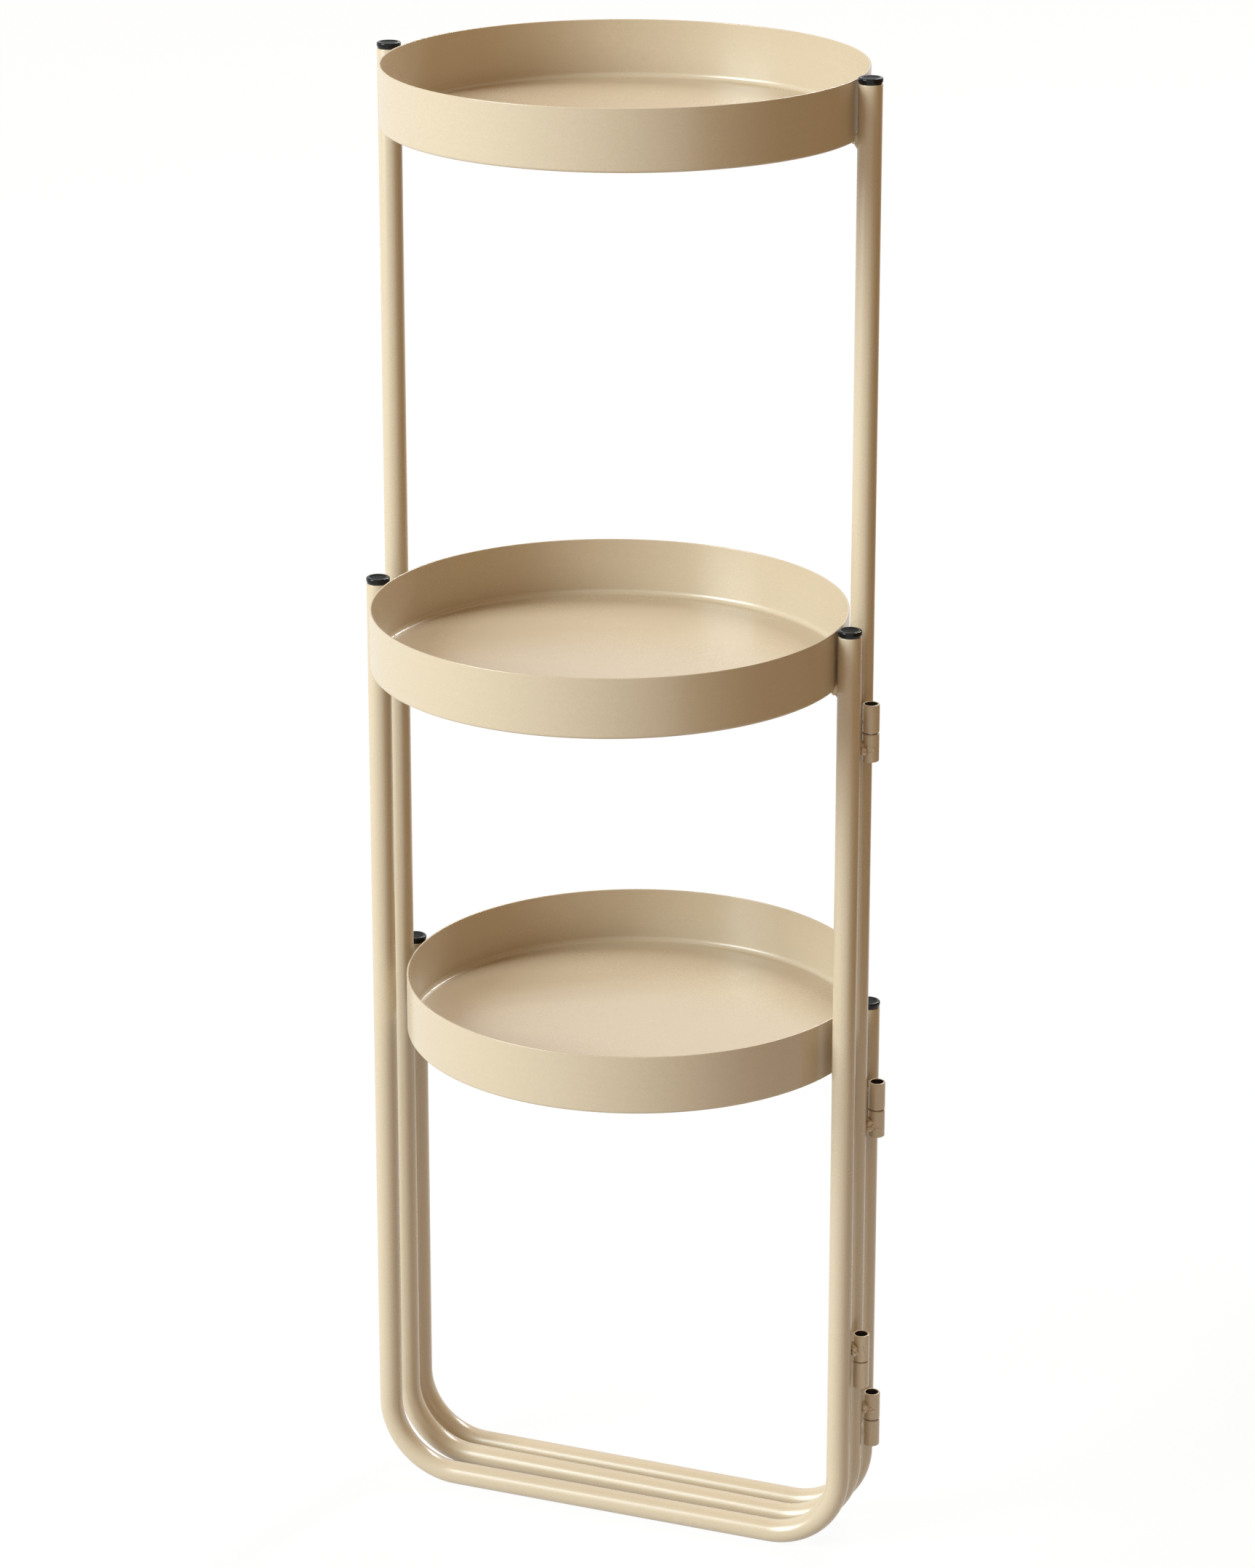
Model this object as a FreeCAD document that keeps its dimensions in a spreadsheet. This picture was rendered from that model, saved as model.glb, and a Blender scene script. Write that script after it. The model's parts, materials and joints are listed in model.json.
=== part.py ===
"""Folding plant stand: three U-shaped tube frames, hinged along one side, each with a round tray.

Millimetres, +Z up. The origin lies on the floor, under the middle of the tall frame's bottom bar.
The tall frame stands in the XZ plane. The middle frame folds against its front (-Y) and the short
frame against its back (+Y), both on barrel hinges outside the right-hand (+X) legs.
"""
import FreeCAD, Part
import math
import os
import Sketcher
from collections import namedtuple

# Driving dimensions: alias, value, meaning. Lengths in millimetres, angles in degrees.
SIZES = [
    ("tube_diameter", 12.7, "outside of the frame tube"),
    ("tube_wall", 1.0, "wall of the frame tube"),
    ("bend_radius", 40.0, "centreline radius of the two bends at the foot of a frame"),
    ("leg_below_rim", 2.0, "cut end of a leg below the rim of its tray"),
    ("tray_diameter", 254.0, "outside of a tray"),
    ("tray_height", 32.5, "tray from underside to rim"),
    ("tray_sheet", 1.0, "sheet of a tray"),
    ("tray_corner", 2.0, "inside radius between the wall and the floor of a tray"),
    ("rim_round", 0.4, "rounding of both edges of a rim"),
    ("tray_gap", 0.8, "clearance between a tray wall and the legs that carry it"),
    ("upper_rim_height", 820.0, "rim of the tall frame's tray above the floor"),
    ("middle_rim_height", 533.0, "rim of the middle frame's tray above the floor"),
    ("lower_rim_height", 312.0, "rim of the short frame's tray above the floor"),
    ("frame_pitch", 19.5, "distance between the planes of neighbouring frames when parallel"),
    ("middle_ajar_angle", 1.0, "opening of the middle frame as it stands"),
    ("short_ajar_angle", -0.5, "opening of the short frame as it stands, pressed just past parallel"),
    ("hinge_offset", 9.0, "hinge axis outward from the centre of the legs"),
    ("knuckle_diameter", 9.2, "outside of a hinge knuckle"),
    ("knuckle_bore", 7.0, "bore of a hinge knuckle"),
    ("knuckle_length", 15.4, "length of a hinge knuckle"),
    ("knuckle_round", 0.3, "rounding of the outer edges of a knuckle"),
    ("seam_gap", 0.6, "gap between the two knuckles of a hinge"),
    ("upper_hinge_drop", 54.5, "seam of an upper hinge below the cut end of the folding leg"),
    ("middle_lower_seam", 114.5, "seam of the middle frame's lower hinge above the floor"),
    ("short_lower_seam", 70.5, "seam of the short frame's lower hinge above the floor"),
    ("pin_clearance", 0.05, "radial running clearance of a hinge pin in the upper knuckle"),
    ("pin_recess", 5.0, "top of a hinge pin below the mouth of the upper knuckle"),
    ("pin_foot", 2.0, "foot of a hinge pin above the mouth of the lower knuckle"),
    ("pin_chamfer", 0.5, "chamfer of both ends of a hinge pin"),
    ("plug_head_diameter", 12.9, "head of an end plug"),
    ("plug_head_height", 3.4, "height of the head of an end plug"),
    ("plug_head_round", 1.2, "rounding of the upper edge of the head"),
    ("plug_dish_diameter", 9.0, "dished centre of the head"),
    ("plug_dish_depth", 0.4, "depth of the dished centre"),
    ("plug_stem_length", 14.0, "stem of an end plug inside the tube"),
    ("plug_rib_depth", 1.2, "height of the stem ribs"),
    ("plug_rib_width", 1.4, "width of a stem rib"),
    ("plug_rib_pitch", 4.0, "distance from one stem rib to the next"),
    ("plug_rib_count", 3, "ribs on a stem"),
    ("plug_clearance", 0.05, "radial clearance of the stem ribs in the tube"),
    ("tray_weld_radius", 2.6, "radius of the bead between a tray and a leg"),
    ("tray_weld_height", 8.0, "height of the bead between a tray and a leg"),
    ("tray_weld_rise", 1.4, "middle of that bead above the underside of the tray"),
    ("hinge_weld_radius", 2.6, "radius of the bead between a knuckle and a leg"),
    ("hinge_weld_height", 7.8, "height of the bead between a knuckle and a leg"),
]

# Sizes that follow from the driving dimensions.
TUBE_RADIUS = "(sizes.tube_diameter / 2)"
TUBE_BORE_RADIUS = "(sizes.tube_diameter / 2 - sizes.tube_wall)"
TRAY_RADIUS = "(sizes.tray_diameter / 2)"
LEG_X = f"({TRAY_RADIUS} + sizes.tray_gap + {TUBE_RADIUS})"
HINGE_X = f"({LEG_X} + sizes.hinge_offset)"
HALF_PITCH = "(sizes.frame_pitch / 2)"
KNUCKLE_RADIUS = "(sizes.knuckle_diameter / 2)"
KNUCKLE_BORE_RADIUS = "(sizes.knuckle_bore / 2)"
HALF_SEAM = "(sizes.seam_gap / 2)"
RIB_RADIUS = f"({TUBE_BORE_RADIUS} - sizes.plug_clearance)"
STEM_RADIUS = f"({RIB_RADIUS} - sizes.plug_rib_depth)"
# From a leg's axis to a hinge axis, and on that line the middle of the gap between their walls.
HINGE_REACH = f"hypot(sizes.hinge_offset; {HALF_PITCH})"
GAP_MIDDLE = f"(({HINGE_REACH} + {TUBE_RADIUS} - {KNUCKLE_RADIUS}) / 2)"

# side: -1 folds against the front of the tall frame, 1 against its back, 0 is the tall frame itself.
Frame = namedtuple("Frame", "name tray rim side ajar")
TALL = Frame("tall", "upper_tray", "sizes.upper_rim_height", 0, "0")
MIDDLE = Frame("middle", "middle_tray", "sizes.middle_rim_height", -1, "sizes.middle_ajar_angle")
SHORT = Frame("short", "lower_tray", "sizes.lower_rim_height", 1, "sizes.short_ajar_angle")
FRAMES = (TALL, MIDDLE, SHORT)
SIDES = (("left", -1), ("right", 1))

# Points of a sketch's geometry, and its own axes and origin, as constraints number them.
START, END, CENTRE = 1, 2, 3
FIRST_AXIS, SECOND_AXIS = -1, -2
ORIGIN = (FIRST_AXIS, START)


def leg_top(frame):
    """Height of the cut ends of a frame's legs."""
    return f"({frame.rim} - sizes.leg_below_rim)"


# folding: the frame that swings on the hinge; top: the frame that carries the upper knuckle.
# The order of the knuckles is reversed between a frame's two hinges, so it can't be lifted off.
Hinge = namedtuple("Hinge", "name folding top bottom seam")
HINGES = (
    Hinge("middle_upper_hinge", MIDDLE, TALL, MIDDLE, f"({leg_top(MIDDLE)} - sizes.upper_hinge_drop)"),
    Hinge("middle_lower_hinge", MIDDLE, MIDDLE, TALL, "sizes.middle_lower_seam"),
    Hinge("short_upper_hinge", SHORT, SHORT, TALL, f"({leg_top(SHORT)} - sizes.upper_hinge_drop)"),
    Hinge("short_lower_hinge", SHORT, TALL, SHORT, "sizes.short_lower_seam"),
)

doc = FreeCAD.newDocument("plant_stand")
sheet = doc.addObject("Spreadsheet::Sheet", "sizes")
for row, (alias, value, meaning) in enumerate(SIZES, start=1):
    sheet.set(f"A{row}", meaning)
    sheet.set(f"B{row}", str(value))
    sheet.setAlias(f"B{row}", alias)
doc.recompute()

nodes = []


def number(expression):
    """Value of an expression on the sheet, to draw a sketch where its dimensions will hold it."""
    return float(sheet.evalExpression(expression.replace("sizes.", "")))


def new_body(name):
    body = doc.addObject("PartDesign::Body", name)
    body.Label = name
    nodes.append(body)
    return body


def origin_feature(body, role):
    return next(item for item in body.Origin.OriginFeatures if item.Role == role)


def new_sketch(body, name, plane="XY_Plane", height=None):
    """Sketch on an origin plane of its body, raised by an expression."""
    sketch = body.newObject("Sketcher::SketchObject", f"{body.Name}_{name}")
    sketch.AttachmentSupport = (origin_feature(body, plane), [""])
    sketch.MapMode = "FlatFace"
    if height:
        sketch.setExpression("AttachmentOffset.Base.z", height)
    return sketch


def dimension(sketch, kind, expression, *geometry):
    """Driving dimension of a sketch that follows an expression."""
    index = sketch.addConstraint(Sketcher.Constraint(kind, *geometry, number(expression)))
    sketch.setExpression(f"Constraints[{index}]", expression)


def add_circle(sketch, radius, x=None):
    """Circle about the sketch's origin, or about a point that lies x along its first axis."""
    centre = FreeCAD.Vector(number(x) if x else 0, 0, 0)
    circle = sketch.addGeometry(Part.Circle(centre, FreeCAD.Vector(0, 0, 1), number(radius)))
    if x:
        sketch.addConstraint(Sketcher.Constraint("PointOnObject", circle, CENTRE, FIRST_AXIS))
        dimension(sketch, "DistanceX", x, *ORIGIN, circle, CENTRE)
    else:
        sketch.addConstraint(Sketcher.Constraint("Coincident", circle, CENTRE, *ORIGIN))
    dimension(sketch, "Radius", radius, circle)


def add_pad(body, name, radii, length, height=None, downward=False):
    """Round pad, or a tube where there are two radii."""
    sketch = new_sketch(body, f"{name}_sketch", height=height)
    for radius in radii:
        add_circle(sketch, radius)
    pad = body.newObject("PartDesign::Pad", f"{body.Name}_{name}")
    pad.Profile = sketch
    pad.setExpression("Length", length)
    pad.Reversed = downward
    doc.recompute()
    return pad


def add_pocket(body, name, radius, depth, height):
    """Round pocket cut downward from a height."""
    before = body.Shape.Volume
    sketch = new_sketch(body, f"{name}_sketch", height=height)
    add_circle(sketch, radius)
    pocket = body.newObject("PartDesign::Pocket", f"{body.Name}_{name}")
    pocket.Profile = sketch
    pocket.setExpression("Length", depth)
    doc.recompute()
    if not body.Shape.Volume < before:
        raise RuntimeError(f"{pocket.Name} cuts nothing")
    return pocket


def edges_at(feature, radius, height):
    """Names of a feature's round edges of a radius that lie at a height."""
    found = []
    for index, edge in enumerate(feature.Shape.Edges, start=1):
        if not isinstance(edge.Curve, Part.Circle):
            continue
        same_radius = abs(edge.Curve.Radius - number(radius)) < 1e-6
        if same_radius and abs(edge.Curve.Center.z - number(height)) < 1e-6:
            found.append(f"Edge{index}")
    return found


def dress_edges(body, kind, name, places, size):
    """Fillet or chamfer on the round edges at (radius, height) places."""
    base = body.Tip
    names = [edge for radius, height in places for edge in edges_at(base, radius, height)]
    feature = body.newObject(f"PartDesign::{kind}", f"{body.Name}_{name}")
    feature.Base = (base, names)
    feature.setExpression("Radius" if kind == "Fillet" else "Size", size)
    doc.recompute()
    return feature


def place(item, frame, x="0", z="0"):
    """Puts an object at a point of its frame, and the frame at its pitch and opening angle."""
    shift_y = f"({frame.side} * sizes.frame_pitch)"
    hinge = f"vector({HINGE_X} - {x}; {-frame.side} * {HALF_PITCH}; 0)"
    turn = f"rotation(vector(0; 0; 1); {-frame.side} * {frame.ajar})"
    item.setExpression("Placement", f"placement(vector({x}; {shift_y}; {z}); {turn}; {hinge})")


def place_on_hinge(item, hinge, z):
    """Puts an object on a hinge axis."""
    item.setExpression("Placement.Base.x", HINGE_X)
    item.setExpression("Placement.Base.y", f"{hinge.folding.side} * {HALF_PITCH}")
    item.setExpression("Placement.Base.z", z)


def make_tube(frame):
    """U of bent tube: two legs, two bends and a bottom bar that lies on the floor."""
    body = new_body(f"{frame.name}_frame_tube")
    point = FreeCAD.Vector
    leg_x = number(LEG_X)
    leg_end = number(leg_top(frame))
    bar_z = number(TUBE_RADIUS)
    bend = number("sizes.bend_radius")
    bend_z = bar_z + bend
    left_circle = Part.Circle(point(bend - leg_x, bend_z), point(0, 0, 1), bend)
    right_circle = Part.Circle(point(leg_x - bend, bend_z), point(0, 0, 1), bend)

    path = new_sketch(body, "path", "XZ_Plane")
    pieces = path.addGeometry([
        Part.LineSegment(point(-leg_x, leg_end), point(-leg_x, bend_z)),
        Part.ArcOfCircle(left_circle, math.radians(180), math.radians(270)),
        Part.LineSegment(point(bend - leg_x, bar_z), point(leg_x - bend, bar_z)),
        Part.ArcOfCircle(right_circle, math.radians(270), math.radians(360)),
        Part.LineSegment(point(leg_x, bend_z), point(leg_x, leg_end)),
    ])
    left_leg, left_bend, bar, right_bend, right_leg = pieces
    for piece, following in zip(pieces, pieces[1:]):
        path.addConstraint(Sketcher.Constraint("Tangent", piece, END, following, START))
    path.addConstraint(Sketcher.Constraint("Vertical", left_leg))
    path.addConstraint(Sketcher.Constraint("Horizontal", bar))
    path.addConstraint(Sketcher.Constraint("Symmetric", left_leg, START, right_leg, END, SECOND_AXIS))
    for arc in (left_bend, right_bend):
        dimension(path, "Radius", "sizes.bend_radius", arc)
    dimension(path, "DistanceX", LEG_X, *ORIGIN, right_leg, END)
    dimension(path, "DistanceY", leg_top(frame), *ORIGIN, right_leg, END)
    dimension(path, "DistanceY", TUBE_RADIUS, *ORIGIN, bar, START)

    section = new_sketch(body, "section", height=leg_top(frame))
    for radius in (TUBE_RADIUS, TUBE_BORE_RADIUS):
        add_circle(section, radius, x=f"-{LEG_X}")
    tube = body.newObject("PartDesign::AdditivePipe", f"{body.Name}_pipe")
    tube.Profile = section
    tube.Spine = (path, [f"Edge{piece + 1}" for piece in pieces])
    place(body, frame)


def make_tray(frame):
    """Round dish of sheet with an upright wall, an inside radius at the floor and a rounded rim."""
    body = new_body(frame.tray)
    underside = f"({frame.rim} - sizes.tray_height)"
    floor = f"({underside} + sizes.tray_sheet)"
    inner_radius = f"({TRAY_RADIUS} - sizes.tray_sheet)"
    add_pad(body, "disc", [TRAY_RADIUS], "sizes.tray_height", height=underside)
    add_pocket(body, "hollow", inner_radius, "sizes.tray_height - sizes.tray_sheet", frame.rim)
    dress_edges(body, "Fillet", "inner_corner", [(inner_radius, floor)], "sizes.tray_corner")
    dress_edges(body, "Fillet", "outer_corner", [(TRAY_RADIUS, underside)],
                "sizes.tray_corner + sizes.tray_sheet")
    dress_edges(body, "Fillet", "rim", [(TRAY_RADIUS, frame.rim), (inner_radius, frame.rim)],
                "sizes.rim_round")
    place(body, frame)


def make_plug(frame, side_name, side):
    """End plug: a low head with a dished top, and a ribbed stem inside the tube."""
    body = new_body(f"{frame.name}_{side_name}_plug")
    head_radius = "sizes.plug_head_diameter / 2"
    dish_radius = "sizes.plug_dish_diameter / 2"
    add_pad(body, "head", [head_radius], "sizes.plug_head_height")
    dress_edges(body, "Fillet", "head_edge", [(head_radius, "sizes.plug_head_height")],
                "sizes.plug_head_round")
    add_pocket(body, "dish", dish_radius, "sizes.plug_dish_depth", "sizes.plug_head_height")
    add_pad(body, "stem", [STEM_RADIUS], "sizes.plug_stem_length", downward=True)
    first_rib = "-sizes.plug_stem_length + (sizes.plug_rib_count - 1) * sizes.plug_rib_pitch"
    rib = add_pad(body, "rib", [RIB_RADIUS], "sizes.plug_rib_width", height=first_rib)
    ribs = body.newObject("PartDesign::LinearPattern", f"{body.Name}_ribs")
    ribs.Originals = [rib]
    ribs.Direction = (origin_feature(body, "Z_Axis"), [""])
    ribs.Reversed = True
    ribs.setExpression("Length", "(sizes.plug_rib_count - 1) * sizes.plug_rib_pitch")
    ribs.setExpression("Occurrences", "sizes.plug_rib_count")
    body.Tip = ribs
    place(body, frame, x=f"({side} * {LEG_X})", z=leg_top(frame))


def make_knuckle(hinge, level, foot):
    """Short tube that turns on the hinge pin."""
    body = new_body(f"{hinge.name}_{level}_knuckle")
    add_pad(body, "barrel", [KNUCKLE_RADIUS, KNUCKLE_BORE_RADIUS], "sizes.knuckle_length")
    dress_edges(body, "Fillet", "edges", [(KNUCKLE_RADIUS, "0"), (KNUCKLE_RADIUS, "sizes.knuckle_length")],
                "sizes.knuckle_round")
    place_on_hinge(body, hinge, foot)


def make_pin(hinge):
    """Hinge pin: pressed into the lower knuckle, running in the upper one, out of sight in both."""
    body = new_body(f"{hinge.name}_pin")
    pressed_length = "(sizes.knuckle_length - sizes.pin_foot)"
    running_length = "(sizes.seam_gap + sizes.knuckle_length - sizes.pin_recess)"
    running_radius = f"({KNUCKLE_BORE_RADIUS} - sizes.pin_clearance)"
    add_pad(body, "pressed_half", [KNUCKLE_BORE_RADIUS], pressed_length, downward=True)
    add_pad(body, "running_half", [running_radius], running_length)
    ends = [(KNUCKLE_BORE_RADIUS, f"-{pressed_length}"), (running_radius, running_length)]
    dress_edges(body, "Chamfer", "ends", ends, "sizes.pin_chamfer")
    place_on_hinge(body, hinge, f"{hinge.seam} - {HALF_SEAM}")


def cylinder(name, radius, height, x="0", y="0", z="0"):
    """Upright cylinder that stands on a point."""
    item = doc.addObject("Part::Cylinder", name)
    item.setExpression("Radius", radius)
    item.setExpression("Height", height)
    for axis, expression in zip("xyz", (x, y, z)):
        item.setExpression(f"Placement.Base.{axis}", expression)
    return item


def weld_bead(name, radius, height, x, y, middle, seats):
    """Round-ended upright bead that fills the gap between two round walls, its seats (radius, x, y)."""
    straight = f"({height} - 2 * {radius})"
    foot = f"({middle} - {straight} / 2)"
    core = cylinder(f"{name}_core", radius, straight, x, y, foot)
    ends = []
    for end, level in (("foot", foot), ("head", f"({foot} + {straight})")):
        ball = doc.addObject("Part::Sphere", f"{name}_{end}")
        ball.setExpression("Radius", radius)
        for axis, expression in zip("xyz", (x, y, level)):
            ball.setExpression(f"Placement.Base.{axis}", expression)
        ends.append(ball)
    bead = doc.addObject("Part::MultiFuse", f"{name}_blank")
    bead.Shapes = [core, *ends]
    for index, (seat_radius, seat_x, seat_y) in enumerate(seats, start=1):
        low = f"({middle} - {height})"
        seat = cylinder(f"{name}_seat_{index}", seat_radius, f"(2 * {height})", seat_x, seat_y, low)
        cut = doc.addObject("Part::Cut", f"{name}_cut_{index}")
        cut.Base = bead
        cut.Tool = seat
        bead = cut
    return bead


def group_welds(name, frame, beads):
    """One node that holds a frame's like beads as separate solids."""
    group = doc.addObject("Part::Compound", name)
    group.Label = name
    group.Links = beads
    place(group, frame)
    nodes.append(group)


def make_tray_welds(frame):
    """Beads between the foot of a tray's wall and its two legs."""
    middle = f"({frame.rim} - sizes.tray_height + sizes.tray_weld_rise)"
    beads = []
    for side_name, side in SIDES:
        x = f"({side} * ({TRAY_RADIUS} + sizes.tray_gap / 2))"
        seats = [(TRAY_RADIUS, "0", "0"), (TUBE_RADIUS, f"{side} * {LEG_X}", "0")]
        beads.append(weld_bead(f"{frame.name}_{side_name}_tray_weld", "sizes.tray_weld_radius",
                               "sizes.tray_weld_height", x, "0", middle, seats))
    group_welds(f"{frame.name}_tray_welds", frame, beads)


def make_hinge_welds(frame):
    """Beads between a frame's right-hand leg and each knuckle that it carries."""
    beads = []
    for hinge in HINGES:
        for level, owner, step in (("top", hinge.top, 1), ("bottom", hinge.bottom, -1)):
            if owner is not frame:
                continue
            # Seen from its own frame, the hinge axis lies towards the other frame of the pair.
            towards = hinge.folding.side if frame is TALL else -frame.side
            x = f"({LEG_X} + {GAP_MIDDLE} * sizes.hinge_offset / {HINGE_REACH})"
            y = f"({towards} * {GAP_MIDDLE} * {HALF_PITCH} / {HINGE_REACH})"
            middle = f"({hinge.seam} + {step} * ({HALF_SEAM} + sizes.knuckle_length / 2))"
            seats = [(TUBE_RADIUS, LEG_X, "0"), (KNUCKLE_RADIUS, HINGE_X, f"{towards} * {HALF_PITCH}")]
            beads.append(weld_bead(f"{hinge.name}_{level}_weld", "sizes.hinge_weld_radius",
                                   "sizes.hinge_weld_height", x, y, middle, seats))
    group_welds(f"{frame.name}_hinge_welds", frame, beads)


for frame in FRAMES:
    make_tube(frame)
    make_tray(frame)
    make_tray_welds(frame)
    make_hinge_welds(frame)
    for side_name, side in SIDES:
        make_plug(frame, side_name, side)

for hinge in HINGES:
    make_knuckle(hinge, "top", f"{hinge.seam} + {HALF_SEAM}")
    make_knuckle(hinge, "bottom", f"{hinge.seam} - {HALF_SEAM} - sizes.knuckle_length")
    make_pin(hinge)

doc.recompute()

for item in doc.Objects:
    if "Invalid" in item.State or "Error" in item.State:
        raise RuntimeError(f"{item.Label} failed: {item.State}")
for node in nodes:
    if node.Shape.isNull() or not node.Shape.isValid() or node.Shape.Volume <= 0:
        raise RuntimeError(f"{node.Label} has no valid shape")

os.makedirs("parts", exist_ok=True)
for node in nodes:
    node.Shape.exportStep(f"parts/{node.Label}.step")
    print(f"{node.Label}: {len(node.Shape.Solids)} solids, {node.Shape.Volume:.1f} cubic mm")
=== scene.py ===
"""Folding plant stand with its finish: three frames of bent tube, hinged on one side, each with a tray.

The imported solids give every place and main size, in metres, +Z up. Each piece made here stands for
one of them.
"""

import json
import math
import random

import bmesh
import bpy
from bpy.props import FloatProperty, FloatVectorProperty, IntProperty, PointerProperty
from mathutils import Matrix, Vector, noise


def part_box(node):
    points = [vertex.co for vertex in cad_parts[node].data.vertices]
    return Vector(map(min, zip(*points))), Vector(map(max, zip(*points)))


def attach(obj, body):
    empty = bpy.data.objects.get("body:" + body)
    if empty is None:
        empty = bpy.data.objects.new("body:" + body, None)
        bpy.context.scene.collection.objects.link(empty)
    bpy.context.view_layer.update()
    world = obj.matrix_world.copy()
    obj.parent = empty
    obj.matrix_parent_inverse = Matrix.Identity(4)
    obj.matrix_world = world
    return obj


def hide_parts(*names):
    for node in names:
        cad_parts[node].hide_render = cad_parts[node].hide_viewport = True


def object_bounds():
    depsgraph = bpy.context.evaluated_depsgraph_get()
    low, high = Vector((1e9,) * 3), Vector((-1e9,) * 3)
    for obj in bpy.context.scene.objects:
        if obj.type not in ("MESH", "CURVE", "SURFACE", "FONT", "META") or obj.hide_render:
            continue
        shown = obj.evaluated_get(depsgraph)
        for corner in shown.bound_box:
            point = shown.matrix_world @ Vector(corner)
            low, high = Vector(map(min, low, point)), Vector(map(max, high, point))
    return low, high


bl_info = {
    "name": "Folding plant stand",
    "version": (1, 0, 0),
    "blender": (4, 5, 0),
    "location": "3D View > Sidebar > Plant stand",
    "description": "Builds the coated tubes, trays, hinges, welds and plugs of a folding plant stand",
    "category": "Object",
}

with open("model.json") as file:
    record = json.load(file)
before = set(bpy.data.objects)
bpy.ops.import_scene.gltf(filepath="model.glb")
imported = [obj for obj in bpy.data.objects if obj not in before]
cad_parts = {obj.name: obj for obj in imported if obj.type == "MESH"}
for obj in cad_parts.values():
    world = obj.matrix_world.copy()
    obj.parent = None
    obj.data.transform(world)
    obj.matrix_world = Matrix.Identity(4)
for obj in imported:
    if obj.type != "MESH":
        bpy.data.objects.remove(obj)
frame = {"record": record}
CAD_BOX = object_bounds()
BODY_OF = {node: body for body, nodes in frame["record"]["behaviour"]["bodies"].items() for node in nodes}

MM = 0.001
UP = Vector((0, 0, 1))
QUARTER_TURN = math.radians(90)
# Edges that turn by more than this are sharp.
SHARP_TURN = math.radians(60)
# Two points nearer than this are the same point.
TOUCH = 1e-6
# A face whose normal rises by more than this looks up.
LOOKS_UP = 0.5
# How strongly large faces pull the normals of their edges.
FLAT_WEIGHT = 100
WHITE = (1.0, 1.0, 1.0)
TRAY_OF = {"tall": "upper_tray", "middle": "middle_tray", "short": "lower_tray"}
LEGS = ("left", "right")


def length(name, description, default):
    """Property that holds a length."""
    return FloatProperty(name=name, description=description, default=default, min=0.0, precision=5,
                         unit="LENGTH", subtype="DISTANCE")


def share(name, description, default):
    """Property that holds a part of one."""
    return FloatProperty(name=name, description=description, default=default, min=0.0, max=1.0,
                         subtype="FACTOR")


def count(name, description, default):
    """Property that holds a number of steps or like pieces."""
    return IntProperty(name=name, description=description, default=default, min=1)


def angle(name, description, degrees):
    """Property that holds an angle, given in degrees."""
    return FloatProperty(name=name, description=description, default=math.radians(degrees), subtype="ANGLE")


def colour(name, description, default):
    """Property that holds a linear colour."""
    return FloatVectorProperty(name=name, description=description, default=default, size=3, min=0.0, max=1.0,
                               subtype="COLOR")


def power(name, description, default):
    """Property that holds a lamp's power in watts."""
    return FloatProperty(name=name, description=description, default=default, min=0.0, unit="POWER",
                         subtype="POWER")


def optics(name, description, default):
    """Property that holds a length inside the camera, in millimetres."""
    return FloatProperty(name=name, description=description, default=default, min=1.0, unit="CAMERA",
                         subtype="DISTANCE_CAMERA")


def plain(name, description, default):
    """Property that holds a number without a unit."""
    return FloatProperty(name=name, description=description, default=default)


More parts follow.
